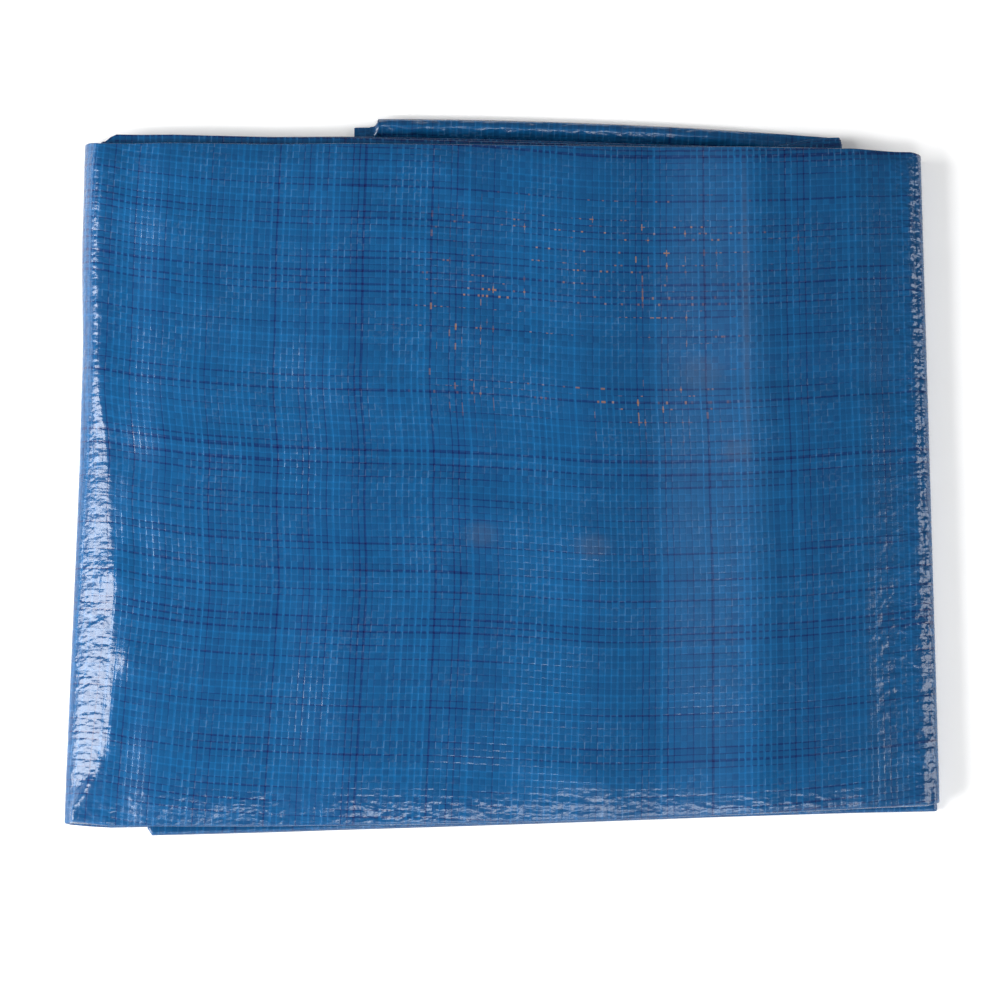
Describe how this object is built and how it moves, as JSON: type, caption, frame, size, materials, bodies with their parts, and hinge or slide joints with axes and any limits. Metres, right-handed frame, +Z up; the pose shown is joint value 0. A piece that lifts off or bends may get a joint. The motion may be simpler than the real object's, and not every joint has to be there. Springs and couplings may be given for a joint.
{
  "type": "folded tarp",
  "caption": "Blue woven plastic sheet folded back and forth into a flat rectangular pack, with a loose fold standing out along its back edge.",
  "frame": {"origin": "under the middle of the pack, on the surface that it lies on", "axes": "+X along the pack's long side, towards its crisp double fold; +Y towards the loose flap; +Z up"},
  "size_m": [0.3767, 0.319, 0.022],
  "materials": {
    "tape_cloth": "semi-gloss laminated woven polyethylene tape"
  },
  "bodies": {
    "root": {"tarp": "tape_cloth"}
  },
  "joints": []
}
